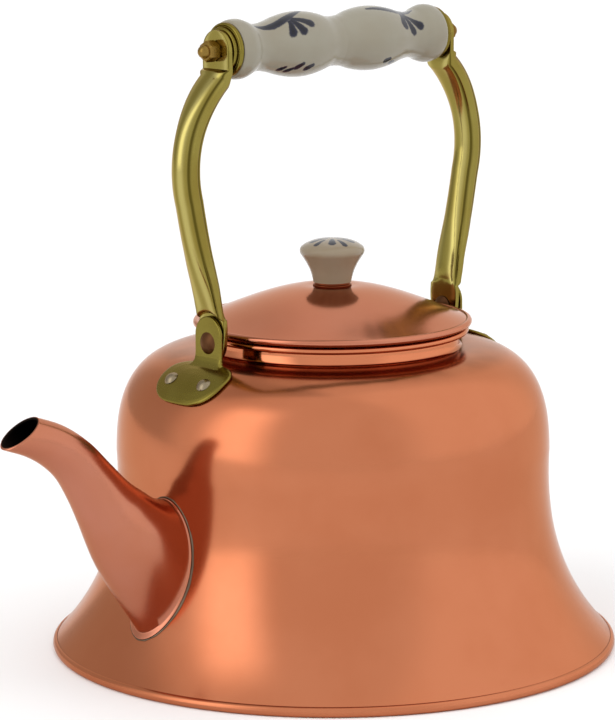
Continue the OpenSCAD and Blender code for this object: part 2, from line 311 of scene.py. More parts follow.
def new_material(name):
    material = bpy.data.materials.new(name)
    material.use_nodes = True
    tree = material.node_tree
    return material, tree, tree.nodes["Principled BSDF"]


def node(tree, kind, inputs=None, **settings):
    """Adds a shader node; inputs maps a socket name to a value or to another socket."""
    made = tree.nodes.new(kind)
    for key, value in settings.items():
        setattr(made, key, value)
    for key, value in (inputs or {}).items():
        if isinstance(value, bpy.types.NodeSocket):
            tree.links.new(value, made.inputs[key])
        else:
            made.inputs[key].default_value = value
    return made


def maths(tree, operation, a, b=0.0):
    return node(tree, "ShaderNodeMath", {0: a, 1: b}, operation=operation).outputs[0]


def blend(tree, factor, a, b):
    """Colour between a and b by factor."""
    made = node(tree, "ShaderNodeMix", {"Factor": factor}, data_type="RGBA")
    for socket, value in ((made.inputs[6], a), (made.inputs[7], b)):
        if isinstance(value, bpy.types.NodeSocket):
            tree.links.new(value, socket)
        else:
            socket.default_value = (*value, 1)
    return made.outputs[2]


def noise(tree, vector, scale, detail=3.0, rough=0.5):
    inputs = {"Vector": vector, "Scale": scale, "Detail": detail, "Roughness": rough}
    return node(tree, "ShaderNodeTexNoise", inputs).outputs["Fac"]


def ramp(tree, value, from_low, from_high, to_low=0.0, to_high=1.0):
    """Smooth step of a value from one range to another."""
    inputs = {"Value": value, "From Min": from_low, "From Max": from_high,
              "To Min": to_low, "To Max": to_high}
    made = node(tree, "ShaderNodeMapRange", inputs, interpolation_type="SMOOTHSTEP")
    return made.outputs["Result"]


def object_point(tree):
    return node(tree, "ShaderNodeTexCoord").outputs["Object"]


def spun_lines(tree, point, lines):
    """Noise that runs round the vertical axis, as left by turning and polishing."""
    split = node(tree, "ShaderNodeSeparateXYZ", {0: point})
    flat = node(tree, "ShaderNodeCombineXYZ", {"X": split.outputs["X"], "Y": split.outputs["Y"]})
    radius = node(tree, "ShaderNodeVectorMath", {0: flat.outputs[0]}, operation="LENGTH")
    side = maths(tree, "MULTIPLY", split.outputs["X"], 0.02)
    profile = node(tree, "ShaderNodeCombineXYZ", {
        "X": radius.outputs["Value"], "Y": side, "Z": split.outputs["Z"]})
    return noise(tree, profile.outputs[0], lines, 2.0), split.outputs["Z"], radius.outputs["Value"]


def bump(tree, shader, height, strength, distance, under=None):
    """Adds a bump to a shader, on top of the one under it."""
    inputs = {"Height": height, "Strength": strength, "Distance": distance}
    if under is not None:
        inputs["Normal"] = under
    made = node(tree, "ShaderNodeBump", inputs)
    tree.links.new(made.outputs[0], shader.inputs["Normal"])
    return made.outputs[0]


def metal(name, light, dark, rough, spread, spun=0.0, shade_bands=(), wobble=0.05, grain=900, shade_highlight_pair=None):
    """Polished metal: two tones, soft dark spots, bands of painted shade, fine polishing marks and a
    slight wobble.

    The bands of painted shade are (axis, full, none, colour): a painted dark reflection and painted
    shade that fade from height or radius full to none.
    The last argument is the (painted shade, painted highlight) pair of colours for the ends of the
    mesh's attribute of painted light.
    """
    material, tree, shader = new_material(name)
    point = object_point(tree)
    cloud = noise(tree, point, 22, 4, 0.55)
    colour = blend(tree, ramp(tree, cloud, 0.35, 0.7), light, dark)
    spots = noise(tree, point, 240, 3, 0.6)
    colour = blend(tree, ramp(tree, spots, 0.62, 0.8, 0, 0.35), colour, dark)
    lines, height, radius = spun_lines(tree, point, 2600)
    # Painted shade: dark bands standing in for reflected dark and shade, fading along the height or the
    # radius in patches
    for axis, full, none, tint in shade_bands:
        measure = height if axis == "height" else radius
        amount = ramp(tree, measure, none * MM, full * MM, 0, 0.8)
        patches = ramp(tree, noise(tree, point, 90, 3), 0.2, 0.75, 0.45, 1)
        amount = maths(tree, "MULTIPLY", amount, patches)
        colour = blend(tree, amount, colour, tint)
    # Painted highlight along two lines of the arm and painted shade in its grooves, read from the mesh's
    # attribute
    if shade_highlight_pair:
        painted_light = node(tree, "ShaderNodeAttribute", attribute_name="painted_light").outputs["Fac"]
        colour = blend(tree, ramp(tree, painted_light, 0.5, 0.0), colour, shade_highlight_pair[0])
        colour = blend(tree, ramp(tree, painted_light, 0.5, 1.0), colour, shade_highlight_pair[1])
    tree.links.new(colour, shader.inputs["Base Color"])
    marks = noise(tree, point, grain, 2, 0.6)
    rough_mix = maths(tree, "MULTIPLY", maths(tree, "ADD", marks, lines), spread)
    cloudy = maths(tree, "MULTIPLY", cloud, spread)
    total = maths(tree, "ADD", maths(tree, "ADD", rough_mix, cloudy), rough - 1.5 * spread)
    tree.links.new(total, shader.inputs["Roughness"])
    shader.inputs["Metallic"].default_value = 1.0
    shader.inputs["Specular Tint"].default_value = (0.86, 0.70, 0.60, 1)
    under = bump(tree, shader, noise(tree, point, 34, 1, 0.4), wobble, 0.4 * MM)
    if spun:
        under = bump(tree, shader, lines, spun, 0.02 * MM, under)
    bump(tree, shader, marks, 0.03, 0.01 * MM, under)
    return material


def ceramic(name, base, warm, paint):
    """Glazed porcelain with brush strokes taken from the mesh's paint attribute."""
    material, tree, shader = new_material(name)
    point = object_point(tree)
    colour = blend(tree, ramp(tree, noise(tree, point, 60, 3), 0.3, 0.75), base, warm)
    specks = ramp(tree, noise(tree, point, 1500, 2, 0.7), 0.70, 0.82, 0, 0.25)
    colour = blend(tree, specks, colour, (0.16, 0.14, 0.11))
    painted = node(tree, "ShaderNodeAttribute", attribute_name="paint").outputs["Fac"]
    edge = maths(tree, "ADD", painted, maths(tree, "MULTIPLY", noise(tree, point, 1300, 2), 0.22))
    amount = ramp(tree, edge, 0.42, 0.66)
    ink = blend(tree, ramp(tree, painted, 0.45, 1.0), paint[0], paint[1])
    colour = blend(tree, amount, colour, ink)
    tree.links.new(colour, shader.inputs["Base Color"])
    rough = ramp(tree, noise(tree, point, 140, 2), 0.2, 0.8, 0.12, 0.24)
    tree.links.new(rough, shader.inputs["Roughness"])
    shader.inputs["Specular IOR Level"].default_value = 0.28
    shader.inputs["Coat Weight"].default_value = 0.04
    shader.inputs["Coat Roughness"].default_value = 0.12
    under = bump(tree, shader, noise(tree, point, 110, 2), 0.10, 0.25 * MM)
    bump(tree, shader, amount, 0.25, 0.05 * MM, under)
    return material


def floor_material():
    """Matt, almost white floor."""
    material, tree, shader = new_material("pale_floor")
    tone = ramp(tree, noise(tree, object_point(tree), 3, 2), 0.3, 0.7)
    colour = blend(tree, tone, (0.93, 0.93, 0.93), (0.95, 0.95, 0.95))
    tree.links.new(colour, shader.inputs["Base Color"])
    shader.inputs["Roughness"].default_value = 0.7
    shader.inputs["Specular IOR Level"].default_value = 0.2
    return material


COPPER = (0.500, 0.170, 0.082)
COPPER_DEEP = (0.470, 0.152, 0.070)
# Painted shade: dark red for the reflected neck on the shoulder's top and the shade at the collar's foot
PAINTED_SHADE_COPPER = (0.20, 0.055, 0.025)
BRASS = (0.270, 0.225, 0.055)
BRASS_DEEP = (0.225, 0.172, 0.034)
# Painted shade for the arm's grooves and painted highlight for its two bright lines
GROOVE_SHADE_AND_HIGHLIGHT = ((0.085, 0.065, 0.010), (0.42, 0.355, 0.115))
INK = ((0.010, 0.011, 0.026), (0.004, 0.004, 0.009))

# Painted shade: a dark band on the flat top of the shoulder, where the dark neck is reflected
copper = metal("polished_copper", COPPER, COPPER_DEEP, 0.18, 0.04, spun=0.06, wobble=0.05,
               shade_bands=[("height", 117.2, 113.5, PAINTED_SHADE_COPPER)])
foot_copper = metal("foot_copper", COPPER, COPPER_DEEP, 0.22, 0.04, spun=0.06)
# Painted shade: a dark band at the foot of the collar
neck_copper = metal("neck_copper", (0.58, 0.19, 0.09), COPPER, 0.10, 0.02, spun=0.04, wobble=0.02,
                    shade_bands=[("height", 118.2, 119.4, PAINTED_SHADE_COPPER)])
lid_copper = metal("lid_copper", (0.49, 0.185, 0.112), (0.47, 0.165, 0.095), 0.15, 0.04,
                   spun=0.05, wobble=0.05)
saddle_copper = metal("saddle_copper", (0.22, 0.050, 0.018), (0.12, 0.022, 0.009), 0.30, 0.08)
spout_copper = metal("spout_copper", (0.47, 0.180, 0.115), (0.45, 0.160, 0.090), 0.22, 0.05,
                     wobble=0.06)
# Painted shade: the inside of the spout is coloured almost black for the shade deep in the tube
dark_bore = metal("spout_bore_painted_shade", (0.020, 0.010, 0.008), (0.010, 0.008, 0.007), 0.55, 0.08)
tin_lining = metal("tin_lining", (0.50, 0.48, 0.45), (0.33, 0.31, 0.29), 0.34, 0.1, spun=0.1)
solder = metal("solder", (0.22, 0.17, 0.12), (0.08, 0.05, 0.035), 0.38, 0.1, wobble=0.3)
tin = metal("tinned_rivet", (0.34, 0.28, 0.19), (0.16, 0.12, 0.07), 0.26, 0.08, wobble=0.3)
# Brass of the arms, with painted highlight and painted shade taken from their attribute
brass_light_and_shade = metal("brass_light_and_shade", BRASS, BRASS_DEEP, 0.18, 0.05, wobble=0.10, shade_highlight_pair=GROOVE_SHADE_AND_HIGHLIGHT)
cup_brass = metal("cup_brass", (0.205, 0.165, 0.032), (0.150, 0.110, 0.018), 0.20, 0.06, wobble=0.12)
bracket_brass = metal("bracket_brass", (0.215, 0.175, 0.036), (0.165, 0.125, 0.022), 0.26, 0.06,
                      wobble=0.12)
nut_brass = metal("nut_brass", (0.24, 0.150, 0.036), (0.16, 0.085, 0.016), 0.28, 0.08, wobble=0.25)
rivet_copper = metal("rivet_copper", (0.12, 0.052, 0.022), (0.05, 0.020, 0.009), 0.38, 0.1, wobble=0.4)
porcelain = ceramic("painted_porcelain", (0.265, 0.245, 0.190), (0.250, 0.222, 0.165), INK)
knob_porcelain = ceramic("knob_porcelain", (0.275, 0.222, 0.155), (0.255, 0.195, 0.125), INK)


# ---------------------------------------------------------------- body of the kettle

# Centre height of the spout's root, and radius of the water hole behind it
ROOT_Z = 44
HOLE_R = 12


def dented(x, y, z):
    """Very shallow unevenness of hand-raised copper, none at the seams."""
    angle = math.atan2(y, x)
    depth = math.sin(3 * angle + 0.06 * z) + 0.7 * math.sin(7 * angle - 0.11 * z + 1.3)
    depth += 0.5 * math.sin(11 * angle + 0.19 * z + 4.1)
    keep = smoothstep(6, 30, z) * (1 - smoothstep(98, 112, z))
    keep *= smoothstep(0.28, 0.6, abs(math.atan2(math.sin(angle - math.pi), math.cos(angle - math.pi))))
    scale = 1 + 0.035 * depth * keep / math.hypot(x, y) if x or y else 1
    return (x * scale, y * scale, z)


def make_body():
    """Raised shell with a flared skirt, tinned inside, with the water hole behind the spout."""
    outer = [(FOOT_R - FOLD, SHEET)] + bezier_points(SKIRT, 64) + bezier_points(SHOULDER, 72)[1:]
    lip = [(MOUTH_R + 0.3, LEDGE_Z), (MOUTH_R, LEDGE_Z - 0.3), (MOUTH_R, LEDGE_Z - SHEET)]
    inner = bezier_points(SHOULDER, 40, SHEET)[::-1] + bezier_points(SKIRT, 40, SHEET)[::-1][1:]
    outline = outer + lip + inner + [(FOOT_R - FOLD - SHEET, SHEET)]
    body = lathe("copper_body", outline, [copper, tin_lining], 256, dented, len(outer) + 1)
    hole = lathe("hole_cutter", [(0, -10), (HOLE_R, -10), (HOLE_R, 10), (0, 10)], [tin_lining], 48,
                 lambda x, y, z: (-body_radius(ROOT_Z) + z, y, ROOT_Z + x))
    cut = body.modifiers.new("water_hole", "BOOLEAN")
    cut.operation = "DIFFERENCE"
    cut.object = hole
    cut.solver = "EXACT"
    bpy.context.view_layer.update()
    applied(body)
    bpy.data.objects.remove(hole)
    return fit(body, "kettle", "copper", "body_shell")


def make_foot():
    """Flat bottom disc whose edge is folded up round the foot of the skirt."""
    lip = FOOT_R - FOLD
    outline = [(0, 0), (lip - 6, 0)] + arc((lip, FOLD), FOLD, -90, 0, 8)
    outline += [(FOOT_R + 0.12, FOOT_H * 0.5)] + arc((lip, FOOT_H - FOLD), FOLD, 0, 84, 8)
    outline += [(lip, FOOT_H - 0.35), (lip, SHEET), (0, SHEET)]
    foot = lathe("rolled_foot", outline, [foot_copper, tin_lining], 256, inner_from=len(outline) - 2)
    return fit(foot, "kettle", "copper", "base_plate")


def make_neck():
    """Upright collar, sweated on to the ledge and rolled outwards under the lid."""
    bead = 1.3
    centre = (NECK_R - bead, NECK_TOP - bead)
    wall = MOUTH_R + SHEET
    outline = [(MOUTH_R, LEDGE_Z), (wall + 1.1, LEDGE_Z), (wall + 0.45, LEDGE_Z + 0.45),
               (wall, LEDGE_Z + 1.2), (wall, LEDGE_Z + 4.6)]
    outline += arc(centre, bead, 215, 450, 20)
    outline += arc((MOUTH_R + 1.0, NECK_TOP - 1.0), 1.0, 90, 180, 6)
    neck = lathe("neck_collar", outline, [neck_copper], 224)
    return fit(neck, "kettle", "copper", "neck_ring")


# ---------------------------------------------------------------- spout

SPOUT_SIDES = 96
SPOUT_WALL = 1.1
ROOT_HALF_H = 26
ROOT_HALF_W = 15.6
# Stations of (distance from the axis, height, radius); the mouth is cut on a slant
STATIONS = [(103, 60.2, 16.6), (108.3, 66.3, 14.2), (113.1, 72.2, 12.2), (119.9, 81.3, 10.3),
            (128, 91, 9), (137.2, 97.9, 8.2), (144.5, 101.4, 7.5)]
# Width of the turned-out edge at the top and the bottom of the root
FLANGE_MIN = 0.35
FLANGE_MAX = 2.5
# Mouth: (distance from the axis, height) of its centre, slant and half sizes
MOUTH = (151.2, 104)
MOUTH_SLANT = math.radians(33)
MOUTH_HALF_L = 9.1
MOUTH_HALF_W = 6.5


def root_point(a, grow, lift):
    """Point of the root oval, which lies on the wall; a runs from its top."""
    z = ROOT_Z + (ROOT_HALF_H + grow) * math.cos(a)
    y = (ROOT_HALF_W + grow) * math.sin(a)
    r = body_radius(z) + lift
    return Vector((-math.sqrt(r * r - y * y), y, z))


def station_point(i, a, wall):
    """Point of the skin at a station of the bend, square to the way that the tube runs."""
    before = STATIONS[max(i - 1, 0)]
    after = STATIONS[i + 1] if i + 1 < len(STATIONS) else MOUTH
    heading = Vector((after[0] - before[0], after[1] - before[1])).normalized()
    s, z, r = STATIONS[i]
    r -= wall
    side = min(r, ROOT_HALF_W - wall)
    up = r * math.cos(a)
    return Vector((-(s - heading.y * up), side * math.sin(a), z + heading.x * up))


def mouth_point(a, wall, out=0.0):
    """Point of the slanted mouth's oval, moved out along its axis."""
    along = (MOUTH_HALF_L - wall) * math.cos(a)
    x = MOUTH[0] - math.cos(MOUTH_SLANT) * along + math.sin(MOUTH_SLANT) * out * 0.6
    z = MOUTH[1] + math.sin(MOUTH_SLANT) * along + math.cos(MOUTH_SLANT) * out
    return Vector((-x, (MOUTH_HALF_W - wall) * math.sin(a), z))


def spout_column(a, wall):
    """One line of the spout's skin from its root to its mouth."""
    knots = [root_point(a, -flange(a) - wall, 1.1)]
    knots += [station_point(i, a, wall) for i in range(len(STATIONS))]
    knots.append(mouth_point(a, wall))
    return spline(knots, 9)


def flange(a):
    """Width of the turned-out edge round the root, widest below."""
    return lerp(FLANGE_MIN, FLANGE_MAX, ((1 - math.cos(a)) / 2) ** 3)


def make_spout():
    """Bent, tapered tube with a turned-out edge at its root and a slanted mouth."""
    angles = [2 * math.pi * j / SPOUT_SIDES for j in range(SPOUT_SIDES)]
    outer = list(zip(*[spout_column(a, 0) for a in angles]))
    inner = list(zip(*[spout_column(a, SPOUT_WALL) for a in angles]))
    edge = [[root_point(a, -d * flange(a) / FLANGE_MAX, lift) for a in angles]
            for d, lift in ((0.05, 0.05), (0, 0.3), (0.12, 0.6), (0.45, 0.75), (1.9, 0.85))]
    lip = [[mouth_point(a, SPOUT_WALL * w, out) for a in angles]
           for w, out in ((0.15, 0.35), (0.5, 0.5), (0.85, 0.35))]
    back = [[root_point(a, -flange(a) - SPOUT_WALL, 0.05) for a in angles]]
    rings = edge + outer + lip + inner[::-1] + back
    # The inner faces of the spout take the painted shade of the bore
    spout = loft("copper_spout", rings, [spout_copper, dark_bore], looped=True,
                 inner_from=len(edge) + len(outer) + 1)
    return fit(spout, "kettle", "copper", "spout")


def make_seam():
    """Uneven bead of solder where the spout's turned-out edge meets the wall."""
    random.seed(7)
    count = 288
    bands = 8
    waves = [(random.uniform(5, 41), random.uniform(0, 6.3), random.uniform(0.1, 0.3)) for _ in range(7)]
    rings = [[] for _ in range(bands)]
    for j in range(count):
        a = 2 * math.pi * j / count
        swell = 1 + sum(s * math.sin(round(f) * a + p) for f, p, s in waves)
        size = 0.20 + 0.10 * max(swell, 0.1) + 0.22 * max(math.sin(a + 3.4), 0) ** 4
        for k in range(bands):
            b = math.pi * k / (bands - 1)
            grow = 0.1 + size * (0.5 + math.cos(b))
            rings[k].append(root_point(a, grow, 0.02 + 0.95 * size * math.sin(b)))
    seam = loft("solder_seam", rings, [solder], looped=True)
    return fit(seam, "kettle", "tin", "spout_solder_seam")


# ---------------------------------------------------------------- lid

RIM_R = 1.35
LID_SHEET = 1.0
STUD_HOLE_R = 2.1
FERRULE_HOLE_R = 2.2
# Height of the knob's widest place above its foot
KNOB_WIDEST = 12.3


def make_lid():
    """Domed sheet with its rim rolled into a bead; tinned underneath."""
    rim_z = LID_LOW + RIM_R
    curve = [(LID_R - 2.15, rim_z + 1.05), (40, 133), (21, FERRULE_Z + 0.8), (8, FERRULE_Z)]
    outer = bezier_points(curve, 72)
    rim = arc((LID_R - RIM_R, rim_z), RIM_R, -175, 118, 26)
    inner = bezier_points(curve, 48, LID_SHEET)
    hole = [(STUD_HOLE_R, FERRULE_Z), (STUD_HOLE_R, FERRULE_Z - LID_SHEET)]
    outline = rim + outer + hole + inner[::-1]
    lid = lathe("domed_lid", outline, [lid_copper, tin_lining], 224,
                inner_from=len(rim) + len(outer) + 1)
    return fit(lid, "lid", "copper", "lid_cover")


def make_saddle():
    """Thin ferrule with a small step under the knob."""
    z = FERRULE_Z
    outline = [(FERRULE_HOLE_R, z), (SADDLE_R, z), (SADDLE_R, z + 0.4), (6.9, z + 0.8), (6.85, KNOB_Z),
               (FERRULE_HOLE_R, KNOB_Z)]
    saddle = lathe("knob_ferrule", filleted(outline, 0.2, 3), [saddle_copper], 128)
    return fit(saddle, "lid", "copper", "knob_saddle")


def knob_outline():
    """Outline of the knob from its foot to the middle of its top, as a smooth curve."""
    side = [(7.4, 0), (7.45, 0.5), (7.8, 2), (8.6, 4.6), (9.9, 7.3), (11.5, 9.9), (12.35, 11.3),
            (KNOB_R, KNOB_WIDEST), (12.2, 13.3), (11.0, 14.4), (8.6, 15.6), (5.0, 16.5), (1.6, 16.8)]
    curve = spline([Vector(p) for p in side], 7)
    return [(0, KNOB_Z), (7.1, KNOB_Z)] + [(p.x, KNOB_Z + p.y) for p in curve] + [(0, KNOB_TOP)]


# ---------------------------------------------------------------- painted porcelain

def stroke_amount(u, v, stroke):
    """1 in the middle of a tapering brush stroke, 0 well outside it."""
    u0, v0, u1, v1, wide0, wide1 = stroke
    du, dv = u1 - u0, v1 - v0
    t = min(max(((u - u0) * du + (v - v0) * dv) / (du * du + dv * dv), 0), 1)
    away = math.hypot(u - u0 - t * du, v - v0 - t * dv)
    half = lerp(wide0, wide1, t)
    return max(0.0, 1 - 0.5 * away / half)


def paint(piece, flatten, strokes):
    """Writes the paint attribute: flatten turns a vertex into distances on the glaze."""
    attribute = piece.data.attributes.new("paint", "FLOAT", "POINT")
    values = []
    for vertex in piece.data.vertices:
        u, v = flatten(vertex.co / MM)
        values.append(max(stroke_amount(u, v, stroke) for stroke in strokes))
    attribute.data.foreach_set("value", values)


def arched(u0, v0, u1, v1, rise, wide, count=6):
    """Curved stroke made of short ones, widest in its middle."""
    pieces = []
    for i in range(count):
        s, e = i / count, (i + 1) / count
        bulge_s, bulge_e = math.sin(math.pi * s), math.sin(math.pi * e)
        pieces.append((lerp(u0, u1, s), lerp(v0, v1, s) + rise * bulge_s,
                       lerp(u0, u1, e), lerp(v0, v1, e) + rise * bulge_e,
                       wide * (0.35 + 0.65 * bulge_s), wide * (0.35 + 0.65 * bulge_e)))
    return pieces


def sprig(u, v, facing, size):
    """Plain sprig: one long curved leaf along the grip and a fan of three plump petals below it."""
    along = facing * size
    strokes = arched(u - 15 * along, v + 1, u + 9 * along, v - 2.5, 2.2 * size, 1.5 * size)
    for turn, length in ((100, 6.4), (66, 7.8), (34, 8.8)):
        a = math.radians(turn)
        du, dv = facing * math.cos(a), math.sin(a)
        reach = length * size
        strokes.append((u + 2.0 * du, v + 2.0 * dv + 1.5, u + reach * du, v + reach * dv + 1.5,
                        0.6 * size, 1.5 * size))
    return strokes


# Half outline of the grip: (distance from its middle, radius)
GRIP_HALF = [(0, 9.4), (4, 9.8), (9, 11.2), (14, 12.15), (18, 12.4), (23, 12.05), (28, 11.05),
             (33, 9.65), (38.3, 8.9), (42, 9.35), (45, 10.6), (47.4, 11.25), (49.6, 11.2),
             (51.3, 10.75), (GRIP_END, 10.2)]
GRIP_BORE_R = 5
# Small dashes on the grip: (along, round, reach)
DASHES = [(-31, 25.6, 0.8), (-28, 27.8, 1.0), (-25, 26.8, 1.6), (-20.5, 28.6, 2.0), (20, 28.5, 1.6),
          (24, 29.5, 1.2)]


def make_grip():
    """Turned grip with two swellings, beaded ends and painted sprigs."""
    half = [Vector((r, x)) for x, r in GRIP_HALF]
    curve = [(p.x, p.y) for p in spline(half, 11)]
    outline = [(r, -x) for r, x in curve[::-1]] + curve[1:]
    outline += [(GRIP_BORE_R, GRIP_END), (GRIP_BORE_R, -GRIP_END)]
    grip = lathe("porcelain_grip", outline, [porcelain], 176,
                 lambda x, y, z: (z, -y, GRIP_Z + x))
    strokes = sprig(-26.5, 3.4, 1, 1.08) + sprig(31, 3, 1, 1.1)
    for u, v, reach in DASHES:
        strokes.append((u, v, u + reach, v - 0.6 * reach, 1.3, 0.9))
    for u, v in ((-22, -30), (26, -32), (0, -48)):
        strokes += sprig(u, v, -1, 0.8)

    def flatten(p):
        r = math.hypot(p.y, p.z - GRIP_Z)
        return p.x, r * math.atan2(-p.y, p.z - GRIP_Z)
    paint(grip, flatten, strokes)
    return fit(grip, "handle", "porcelain", "grip")


def make_knob():
    """Lid knob with petals painted on its top."""
    knob = lathe("porcelain_knob", knob_outline(), [knob_porcelain], 176)
    strokes = []
    for k in range(5):
        a = math.radians(72 * k + 12)
        for turn, start, end, wide in ((0, 2.2, 7.6, 1.35), (0.55, 4.6, 9.2, 1.0)):
            strokes.append((start * math.cos(a + turn), start * math.sin(a + turn),
                            end * math.cos(a + turn), end * math.sin(a + turn), 0.5, wide))

    def flatten(p):
        down = max(KNOB_Z + KNOB_WIDEST - p.z, 0)
        r = math.hypot(p.x, p.y)
        grow = (r + 1.2 * (KNOB_R - r) + 3 * down) / r if down and r else 1
        return p.x * grow, p.y * grow
    paint(knob, flatten, strokes)
    return fit(knob, "lid", "porcelain", "lid_knob")


# ---------------------------------------------------------------- handle

TUBE_R = 5.3
# Flat pads at both ends of an arm: inner faces, thickness, half width, end radius, squareness
PAD_IN = 58.9
UPPER_IN = 55.5
PAD_T = 2.4
PAD_HALF_W = 7.7
PAD_END_R = 7
PAD_SQUARE = 7
# Step above the lower pad: distance from the pivot and half width
STEP_R = 11.2
STEP_HALF_W = 7.0
ARM_SIDES = 120
# Pressed grooves and lines of painted highlight, in degrees from the outer side of a section
GROOVE_AT = (62, 118)
HIGHLIGHT_AT = (24, 150)
# Sections of the fold behind the nut: inner point, outer point (x, height above the grip's
# middle), half width, squareness
FOLD_SECTIONS = [
    ((55.4, -12.6), (60.75, -7.7), 7.25, 3.2),
    ((55.45, -11), (60.2, -7.3), 7.45, 3.8),
    ((55.5, -9.6), (59.3, -7.15), 7.6, 4.6),
    ((55.5, -8.6), (58.4, -7.0), 7.68, 5.5),
    ((55.5, -7.9), (UPPER_IN + PAD_T, -6.7), PAD_HALF_W, 6.5),
    ((55.5, -6.5), (UPPER_IN + PAD_T, -6), PAD_HALF_W, PAD_SQUARE),
    ((55.5, -3), (UPPER_IN + PAD_T, -3), PAD_HALF_W, PAD_SQUARE),
]
# Straight stretch and bow of an arm, in the XZ plane
STRAIGHT_LEAN = math.radians(15)
BOW_START = Vector((60 + 41.5 * math.tan(STRAIGHT_LEAN), 180))
BOW_RADIUS = 44
BOW_END_LEAN = math.radians(-48)
CAP_BORE_R = 2.5
NUT_APOTHEM = 3.5


def line_share(a, places, wide):
    """How near a point of a section is to a line at one of the places, 1 on it and 0 far off."""
    turn = abs((math.degrees(a) + 180) % 360 - 180)
    return max(math.exp(-((turn - place) / wide) ** 2) for place in places)


def squarish(share, square):
    """Sine or cosine of an outline that is an oval at square 2 and nears a box above that."""
    return math.copysign(abs(share) ** (2 / square), share)


def cross_section(inner, outer, half_w, square, groove=0.0, bend=0.0):
    """Ring of an arm or a tab between its inner and outer point in the XZ plane.

    groove is the depth of the pressed grooves; bend curves the ring round the pivot.
    """
    middle = (inner + outer) / 2
    reach = (outer - inner) / 2
    rise = Vector((-reach.y, reach.x)).normalized()
    ring = []
    for j in range(ARM_SIDES):
        a = 2 * math.pi * j / ARM_SIDES
        c, s = math.cos(a), math.sin(a)
        y = half_w * squarish(s, square)
        dent = 1 - groove * line_share(a, GROOVE_AT, 7) / half_w
        drop = bend * (math.sqrt(max(STEP_R ** 2 - y * y, 0)) - STEP_R)
        p = middle + squarish(c, square) * dent * reach + drop * rise
        ring.append(Vector((p.x, y * dent, p.y)))
    return ring


def round_top(inner, outer, centre, half_w):
    """Rings of a flat's round top, from its full width up to its tip."""
    rings = []
    for i in range(13):
        a = math.radians(90 * i / 12)
        z = centre + half_w * math.sin(a)
        w = max(half_w * math.cos(a), 0.4)
        rings.append(cross_section(Vector((inner, z)), Vector((outer, z)), w, PAD_SQUARE))
    return rings


def arm_rings():
    """Rings of the arm at +X, from its lower end to its top; make_arm mirrors them for -X."""
    rings = []
    pad_out = PAD_IN + PAD_T
    # rounded lower end of the pad and its straight sides
    for i in range(1, 13):
        a = math.radians(90 * i / 12)
        z = PIVOT_Z - PAD_END_R * math.cos(a)
        w = max(PAD_END_R * math.sin(a), 0.3)
        rings.append(cross_section(Vector((PAD_IN, z)), Vector((pad_out, z)), w, PAD_SQUARE))
    for rise, w in ((3, 7.35), (6, 7.4), (9, 7.1)):
        z = PIVOT_Z + rise
        rings.append(cross_section(Vector((PAD_IN, z)), Vector((pad_out, z)), w, PAD_SQUARE))
    # step where the flattened foot swells into the tube, bent round the tab
    for rise, swell in ((0.0, 0), (0.05, 0.5), (0.3, 1.4), (0.9, 2.3), (2.2, 3.0)):
        z = PIVOT_Z + STEP_R + rise
        rings.append(cross_section(Vector((PAD_IN, z)), Vector((pad_out + swell, z + 0.2 * swell)),
                                 STEP_HALF_W, lerp(6, 2.6, swell / 3), 0.15 * swell, 1))
    # straight stretch, from the wide foot to the round tube
    step_z = PIVOT_Z + STEP_R
    foot_in = Vector((PAD_IN, step_z + 3))
    foot_out = Vector((pad_out + 3.3, step_z + 4))
    across = Vector((math.cos(STRAIGHT_LEAN), -math.sin(STRAIGHT_LEAN)))
    for i in range(1, 29):
        t = i / 28
        swell = smoothstep(-0.1, 0.95, t)
        bulge = Vector((1.3 * math.sin(math.pi * t), 0))
        start = foot_in.lerp(BOW_START - TUBE_R * across, t)
        end = foot_out.lerp(BOW_START + TUBE_R * across, t) + bulge
        rings.append(cross_section(start, end, lerp(STEP_HALF_W, TUBE_R, swell),
                                 lerp(2.6, 2.0, min(1.6 * swell, 1)), lerp(0.8, 0.5, swell),
                                 1 - smoothstep(0, 0.25, t)))
    # bow towards the grip
    centre = BOW_START - BOW_RADIUS * across
    for i in range(1, 31):
        t = i / 30
        turn = lerp(STRAIGHT_LEAN, BOW_END_LEAN, t)
        flat = smoothstep(0.45, 1, t)
        facing = Vector((math.cos(turn), -math.sin(turn)))
        rings.append(cross_section(centre + (BOW_RADIUS - lerp(TUBE_R, 3.6, flat)) * facing,
                                 centre + (BOW_RADIUS + lerp(TUBE_R, 4.3, flat)) * facing,
                                 lerp(TUBE_R, 7.0, flat), lerp(2.0, 2.8, flat), lerp(0.55, 0.2, flat)))
    # folded upright and pressed flat behind the nut, with a round top
    for (xi, zi), (xo, zo), w, square in FOLD_SECTIONS:
        rings.append(cross_section(Vector((xi, GRIP_Z + zi)), Vector((xo, GRIP_Z + zo)), w, square))
    return rings + round_top(UPPER_IN, UPPER_IN + PAD_T, GRIP_Z, PAD_HALF_W)


# ---------------------------------------------------------------- brackets

# Tab: inner face, half width, and height of its round top's centre above the pivot
TAB_IN = 61.6
TAB_HALF_W = 7.5
TAB_RISE = 2.7
# Plate: thickness, distance of its centre from the axis, half sizes, and how far its ends lie back
PLATE_T = 1.5
PLATE_CENTRE = 69.8
PLATE_HALF_REACH = 8.9
PLATE_HALF_W = 17.4
PLATE_BOW = 0.002
PLATE_POINTS = 96
# Rounded edge of the plate: (share of its outline, height above the wall)
PLATE_EDGE = [(0.9, 0.02), (0.965, 0.08), (0.995, 0.4), (1, 0.75), (0.995, 1.1), (0.965, 1.4),
              (0.9, 1.52), (0.7, 1.56), (0.35, 1.56), (0.05, 1.56)]
# Root of the tab: (height above the plate, outward spread, half width)
TAB_ROOT = [(-3.2, 3.0, 9.6), (-0.6, 2.4, 8.8), (0.2, 1.4, 7.9), (1.2, 0.6, 7.55),
            (2.6, 0.15, TAB_HALF_W), (4.5, 0, TAB_HALF_W)]


